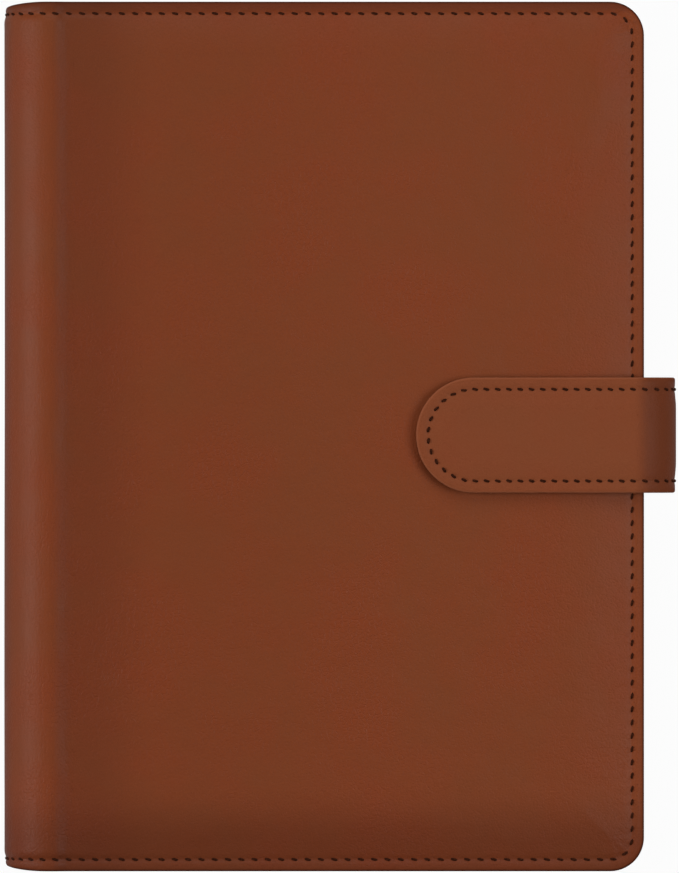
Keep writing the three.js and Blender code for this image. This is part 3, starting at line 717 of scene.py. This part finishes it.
    def stitches(self) -> bpy.types.Object:
        """The row of stitches along head, fore-edge and tail."""
        z, gap = self.sizes, self.relief.stitch_reach
        total = self.grid.distance(z.stitch_inset)[-1]
        before, middle, after = (
            ring_places(self.grid, z.stitch_inset, z.stitch_pitch, shift, total + shift)
            for shift in (-gap, 0, gap)
        )
        centre, normal = self.frame_at(middle, self.relief.thread_lift)
        along = self.frame_at(after, 0)[0] - self.frame_at(before, 0)[0]
        along /= np.linalg.norm(along, axis=1)[:, None]
        row = StitchRow(slant=SLANT * self.side.value)
        sewn = row.sew(f"{self.side.name.lower()}_cover_stitches", centre, along, normal)
        sewn.data.materials.append(self.thread)
        return sewn

    def dress(self) -> None:
        """Make the skin and its stitches, and hide the imported leather that they stand in for."""
        cover = f"{self.side.name.lower()}_cover"
        skin, sewn = self.build(), self.stitches()
        if self.side is Side.FRONT:
            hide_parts("front_cover_leather", "spine_leather")
        else:
            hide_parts("back_cover_leather")
        for piece in (skin, sewn):
            if self.side is Side.FRONT:
                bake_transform(piece)
            else:
                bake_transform(piece)
            LOG.info("%s has %d faces", piece.name, len(piece.data.polygons))


@dataclass
class ClosingStrap:
    """The strap that comes out of the back cover's fore-edge and closes on the front.

    Its middle line has two bends, `lower` and `upper` in radius. `bend_lean` is not used.
    """

    leather: bpy.types.Material
    thread: bpy.types.Material
    half: float = 12.6 * MM
    middle: float = 1.2 * MM
    root_z: float = 2.55 * MM
    lower: float = 5.8 * MM
    upper: float = 7.0 * MM
    top_z: float = 37.55 * MM
    tip_x: float = 20.2 * MM
    inset: float = 2.6 * MM
    pitch: float = 2.45 * MM
    step: float = 0.7 * MM
    corner_points: int = 40
    bend_lean: float = 0.45
    headward: float = 0.3 * MM
    rim_drop: float = 0.12 * MM
    crown_rise: float = 0.22 * MM
    crown_start: float = 3 * MM
    crown_fade: float = 3.5 * MM
    thread_width: float = 0.6 * MM
    thread_dip: float = 0.1 * MM
    stitch_dip: float = 0.16 * MM
    stitch_length: float = 1.5 * MM
    first_stitch: float = 3 * MM

    def __post_init__(self) -> None:
        """Work out the strap's stretches and the grid on it."""
        self.upright = self.top_z - self.upper - self.root_z - self.lower
        self.bend_one = self.lower * math.pi / 2
        self.bend_two = self.upper * math.pi / 2
        self.upper_x = SIZES.fore_edge_x + self.lower - self.upper
        self.length = self.bend_one + self.upright + self.bend_two + self.upper_x - self.tip_x
        self.grid = BorderGrid(self.length, self.half, self.half, self.step, self.corner_points)

    def path(self, s: np.ndarray) -> tuple[np.ndarray, np.ndarray, np.ndarray, np.ndarray]:
        """The strap's middle line: a quarter circle up, straight, a quarter circle back, level to the tip.

        Args:
            s: Length along the line, in metres.

        Returns:
            x, z, and the outward normal's x and z.
        """
        one = np.clip(s, 0, self.bend_one) / self.lower
        up = np.clip(s - self.bend_one, 0, self.upright)
        two = np.clip(s - self.bend_one - self.upright, 0, self.bend_two) / self.upper
        level = np.clip(s - self.bend_one - self.upright - self.bend_two, 0, None)
        x = SIZES.fore_edge_x + self.lower * np.sin(one) - self.upper * (1 - np.cos(two)) - level
        height = self.root_z + self.lower * (1 - np.cos(one)) + up + self.upper * np.sin(two)
        turn = one + two
        return x, height, np.sin(turn), -np.cos(turn)

    def rise(self, inset: np.ndarray, run: np.ndarray) -> np.ndarray:
        """The upper face's height over the middle line: level, dipped at the thread, then crowned."""
        near = np.exp(-((inset - self.inset) / self.thread_width) ** 2)
        wave = 0.5 + 0.5 * np.cos(2 * math.pi * run / self.pitch)
        crown = self.crown_rise * smooth_step((inset - self.crown_start) / self.crown_fade)
        return self.middle - self.rim_drop + crown - near * (self.thread_dip + self.stitch_dip * wave)

    def place(self, s: np.ndarray, t: np.ndarray, rise: np.ndarray) -> np.ndarray:
        """Points at s and t, moved out along the normal by a rise."""
        x, height, out_x, out_z = self.path(s)
        return np.stack([x + out_x * rise, t + self.headward, height + out_z * rise], -1)

    def build(self) -> bpy.types.Object:
        """The strap as one closed form: rings over the underside, round the edge and over the top."""
        under = np.array([12.6, 9, 6, 3, 1.2, 0.45])
        edge = np.array([0.12, 0.0, 0.0, 0.0, 0.12])
        edge_level = np.array([-1.02, -0.7, 0, 0.66, 0.94])
        upper = np.concatenate([np.arange(0.45, 5.2, 0.3), [5.8, 6.8, 8, 9.6, 11.2, 12.6]])
        insets = np.concatenate([under, edge, upper]) * MM
        level = np.concatenate([np.full(len(under), -1.15), edge_level, np.zeros(len(upper))]) * MM
        rings = np.array([self.grid.ring(inset) for inset in insets])
        s, t = rings[..., 0], rings[..., 1]
        inset = np.repeat(insets[:, None], s.shape[1], 1)
        run = np.repeat(self.grid.distance(self.inset)[None], len(insets), 0)
        on_top = np.arange(len(insets)) >= len(under) + len(edge)
        rise = np.where(on_top[:, None], self.rise(inset, run), level[:, None])
        points = self.place(s, t, rise).reshape(-1, 3)
        rows, columns = s.shape
        first = np.arange(rows) * columns
        root_end = np.concatenate([first, (first + columns - 1)[::-1]])
        faces = [*grid_faces(rows, columns), root_end]
        # Underside and edge rings carry an inset near 0, so they take the edge colour, which on the strap
        # is a painted highlight.
        shown = np.where(on_top[:, None], inset, 0.0)
        uv = np.stack([run, inset], -1).reshape(-1, 2)
        strap = mesh_object("closing_strap", points, faces, uv, {"inset": shown.ravel() + 0.1 * MM})
        tidy_mesh(strap)
        strap.data.materials.append(self.leather)
        return strap

    def stitches(self) -> bpy.types.Object:
        """The row of stitches up one side, round the tip and down the other."""
        first, last = self.first_stitch, self.grid.distance(self.inset)[-1] - self.first_stitch
        spots = [
            ring_places(self.grid, self.inset, self.pitch, first + shift, last + shift)
            for shift in (-RELIEF.stitch_reach, 0, RELIEF.stitch_reach)
        ]
        rise = self.rise(np.array([self.inset]), np.zeros(1)) + RELIEF.thread_lift
        before, centre, after = (self.place(spot[:, 0], spot[:, 1], rise) for spot in spots)
        along = after - before
        along /= np.linalg.norm(along, axis=1)[:, None]
        _, _, out_x, out_z = self.path(spots[1][:, 0])
        normal = np.stack([out_x, np.zeros_like(out_x), out_z], 1)
        sewn = StitchRow(self.stitch_length).sew("strap_stitches", centre, along, normal)
        sewn.data.materials.append(self.thread)
        return sewn

    def dress(self) -> None:
        """Make the strap and its stitches, and hide the imported strap parts that they stand in for.
        """
        strap, sewn = self.build(), self.stitches()
        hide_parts("strap_leather", "strap_lining", "strap_root", "strap_magnet")
        for piece in (strap, sewn):
            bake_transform(piece)
            LOG.info("%s has %d faces", piece.name, len(piece.data.polygons))


@dataclass
class Insides:
    """The boards, lining, rings, envelopes and sheets, which keep their packed form."""

    def finishes(self) -> dict[str, "SyntheticLeather | PlainFinish | WovenLining"]:
        """Material slot to finish."""
        return {
            "outer_leather": SyntheticLeather("bare_leather", edged=False),
            "strap_lining": SyntheticLeather("strap_lining_leather", edged=False),
            "inner_leather": SyntheticLeather("pocket_leather", base=(112, 60, 40), edged=False),
            "padding": PlainFinish("foam_sheet", (216, 213, 204), 0.9, grain=0.3 * MM),
            "board": PlainFinish("grey_board", (143, 133, 120), 0.9),
            "lining": WovenLining("woven_lining"),
            "ring_steel": PlainFinish("ring_nickel", (205, 206, 208), 0.2, metallic=1.0, grain=0.8 * MM,
                                      depth=0.002 * MM, spread=0.06),
            "magnet": PlainFinish("magnet_plate", (120, 122, 125), 0.4, metallic=1.0),
            "keeper_steel": PlainFinish("keeper_plate", (160, 162, 165), 0.4, metallic=1.0),
            "film": PlainFinish("clear_film", (232, 238, 240), 0.12, grain=6 * MM, depth=0.05 * MM,
                                spread=0.04, alpha=0.42),
            "zip_tape": PlainFinish("zip_tape", (236, 233, 226), 0.7, grain=0.4 * MM, depth=0.05 * MM),
            "zip_metal": PlainFinish("zip_metal", (200, 199, 196), 0.28, metallic=1.0, grain=0.6 * MM,
                                     depth=0.004 * MM),
            "paper": PlainFinish("sheet_paper", (243, 240, 232), 0.85, grain=0.25 * MM, spread=0.03),
        }

    def dress(self) -> None:
        """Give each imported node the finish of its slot."""
        made = {slot: finish.make() for slot, finish in self.finishes().items()}
        for row in frame["record"]["subparts"]:
            node = bpy.data.objects.get(row["node"])
            if node is None or node.type != "MESH":
                LOG.warning("no object for node %s", row["node"])
                continue
            node.data.materials.clear()
            node.data.materials.append(made[row["material_slot"]])


@dataclass(frozen=True)
class SoftLamp:
    """A square area lamp: where it is, how wide, and how strong."""

    name: str
    place: tuple[float, float, float]
    size: float
    power: float


@dataclass
class Studio:
    """The pale floor, the soft lights and the camera straight above."""

    camera_height: float = 3.0
    sensor: float = 36.0
    floor_reach: float = 3.0
    floor_grey: float = 0.45
    floor_glow: float = 0.96
    glossy_share: float = 0.2
    sky: float = 0.2
    lamps: tuple[SoftLamp, ...] = (
        SoftLamp("left_softbox", (-0.6, 0.0, 0.38), 0.35, 3.0),
        SoftLamp("right_softbox", (0.4, 0.0, 0.54), 0.3, 2.05),
        SoftLamp("head_softbox", (0.0, 1.1, 1.0), 0.9, 7.5),
    )

    def floor(self) -> None:
        """A wide floor, grey for the light that it gives back and white to the camera."""
        corners = np.array([[-1, -1, 0], [1, -1, 0], [1, 1, 0], [-1, 1, 0]]) * self.floor_reach
        floor = mesh_object("studio_floor", corners - [0, 0, 0.2 * MM], [[0, 1, 2, 3]])
        g = Graph("white_floor")
        kinds = ("Is Camera Ray", "Is Glossy Ray", "Is Transmission Ray")
        camera, glossy, through = (g.add("ShaderNodeLightPath", output=kind) for kind in kinds)
        seen = camera.maths("MAXIMUM", glossy * self.glossy_share).maths("MAXIMUM", through)
        g.put(g.shader, "Base Color", (self.floor_grey, self.floor_grey, self.floor_grey, 1))
        g.put(g.shader, "Roughness", 0.9)
        glow = g.nodes.new("ShaderNodeEmission")
        glow.inputs["Color"].default_value = (1, 1, 1, 1)
        mix = g.nodes.new("ShaderNodeMixShader")
        g.links.new((seen * self.floor_glow).socket, mix.inputs[0])
        g.links.new(g.shader.outputs[0], mix.inputs[1])
        g.links.new(glow.outputs[0], mix.inputs[2])
        g.links.new(mix.outputs[0], g.nodes["Material Output"].inputs[0])
        floor.data.materials.append(g.material)

    def world(self) -> None:
        """An even pale world."""
        world = bpy.data.worlds.new("studio")
        world.use_nodes = True
        background = world.node_tree.nodes["Background"]
        background.inputs[0].default_value = (1, 1, 1, 1)
        background.inputs[1].default_value = self.sky
        bpy.context.scene.world = world

    def hang(self, soft: SoftLamp) -> None:
        """Put up a lamp so that it looks at the wallet."""
        data = bpy.data.lights.new(soft.name, "AREA")
        data.size = soft.size
        data.energy = soft.power
        lamp = bpy.data.objects.new(soft.name, data)
        away = np.array(soft.place) - np.array([0, 0, SIZES.thickness])
        lamp.location = soft.place
        tilt = math.acos(away[2] / np.linalg.norm(away))
        lamp.rotation_euler = (0, tilt, math.atan2(away[1], away[0]))
        bpy.context.scene.collection.objects.link(lamp)

    def camera(self) -> None:
        """A camera straight above, whose image plane at the front cover has the photograph's scale."""
        metres_per_pixel = 2 * SIZES.half_height / COVER_HEIGHT_PX
        data = bpy.data.cameras.new("camera")
        data.sensor_fit = "VERTICAL"
        data.sensor_height = self.sensor
        data.lens = self.sensor * self.camera_height / (IMAGE_HEIGHT_PX * metres_per_pixel)
        data.clip_start = 0.01
        camera = bpy.data.objects.new("camera", data)
        camera.location = (CAMERA_OFFSET_PX * metres_per_pixel, 0, SIZES.thickness + self.camera_height)
        bpy.context.scene.collection.objects.link(camera)
        bpy.context.scene.camera = camera

    def build(self) -> None:
        """Put up floor, world, lamps and camera."""
        self.floor()
        self.world()
        for soft in self.lamps:
            self.hang(soft)
        self.camera()
        bpy.context.scene.view_settings.view_transform = "Standard"


def main() -> None:
    """Dress the wallet."""
    logging.basicConfig(level=logging.INFO)
    Studio().build()
    leather = SyntheticLeather("brown_leather", painted_shades=COVER_PAINTED_SHADES).make()
    # The strap's light edge colour is a painted highlight round its rim, and its painted shades darken its
    # bend.
    strap_leather = SyntheticLeather("strap_leather", base=(118, 60, 34), warm=(120, 59, 33),
                                     dull=(116, 61, 35), edge=(136, 78, 52), sheen=0.06,
                                     painted_shades=STRAP_PAINTED_SHADES).make()
    thread = Thread("brown_thread").make()
    Insides().dress()
    CoverSkin(Side.FRONT, leather, thread).dress()
    CoverSkin(Side.BACK, leather, thread).dress()
    ClosingStrap(strap_leather, thread).dress()


if __name__ == "__main__":
    main()
